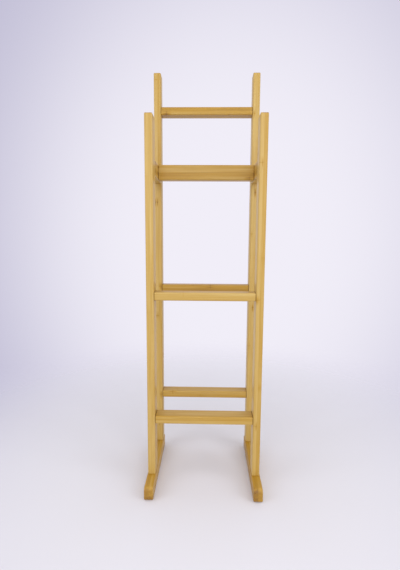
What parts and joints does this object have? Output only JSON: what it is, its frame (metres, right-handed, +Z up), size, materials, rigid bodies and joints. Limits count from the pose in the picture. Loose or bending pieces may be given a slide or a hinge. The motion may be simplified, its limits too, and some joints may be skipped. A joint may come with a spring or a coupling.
{
  "type": "ladder shelf",
  "caption": "Narrow free-standing rack: two sled-footed side frames with short front and tall rear uprights, held apart by flat cross bars and an upper board on edge.",
  "frame": {"origin": "on the floor under the middle of the two feet", "axes": "+Z up, -Y towards the front (the shorter uprights), +X to the right seen from the front"},
  "size_m": [0.243, 0.212, 0.9035],
  "materials": {
    "bamboo": "laminated honey bamboo under clear satin-gloss lacquer",
    "screw_steel": "zinc-plated hex-socket furniture screw",
    "dowel_wood": "plain beech dowel, unfinished",
    "pad_rubber": "matt black foam rubber"
  },
  "bodies": {
    "root": {"foot_left": "bamboo", "foot_right": "bamboo", "front_upright_left": "bamboo", "front_upright_right": "bamboo", "rear_upright_left": "bamboo", "rear_upright_right": "bamboo", "side_rail_left": "bamboo", "side_rail_right": "bamboo", "lower_front_bar": "bamboo", "lower_rear_bar": "bamboo", "mid_front_bar": "bamboo", "mid_rear_bar": "bamboo", "upper_board": "bamboo", "top_bar": "bamboo", "bar_screws": "screw_steel", "foot_screws": "screw_steel", "bar_dowels": "dowel_wood", "foot_dowels": "dowel_wood", "rail_dowels": "dowel_wood", "floor_pads": "pad_rubber"}
  },
  "joints": []
}
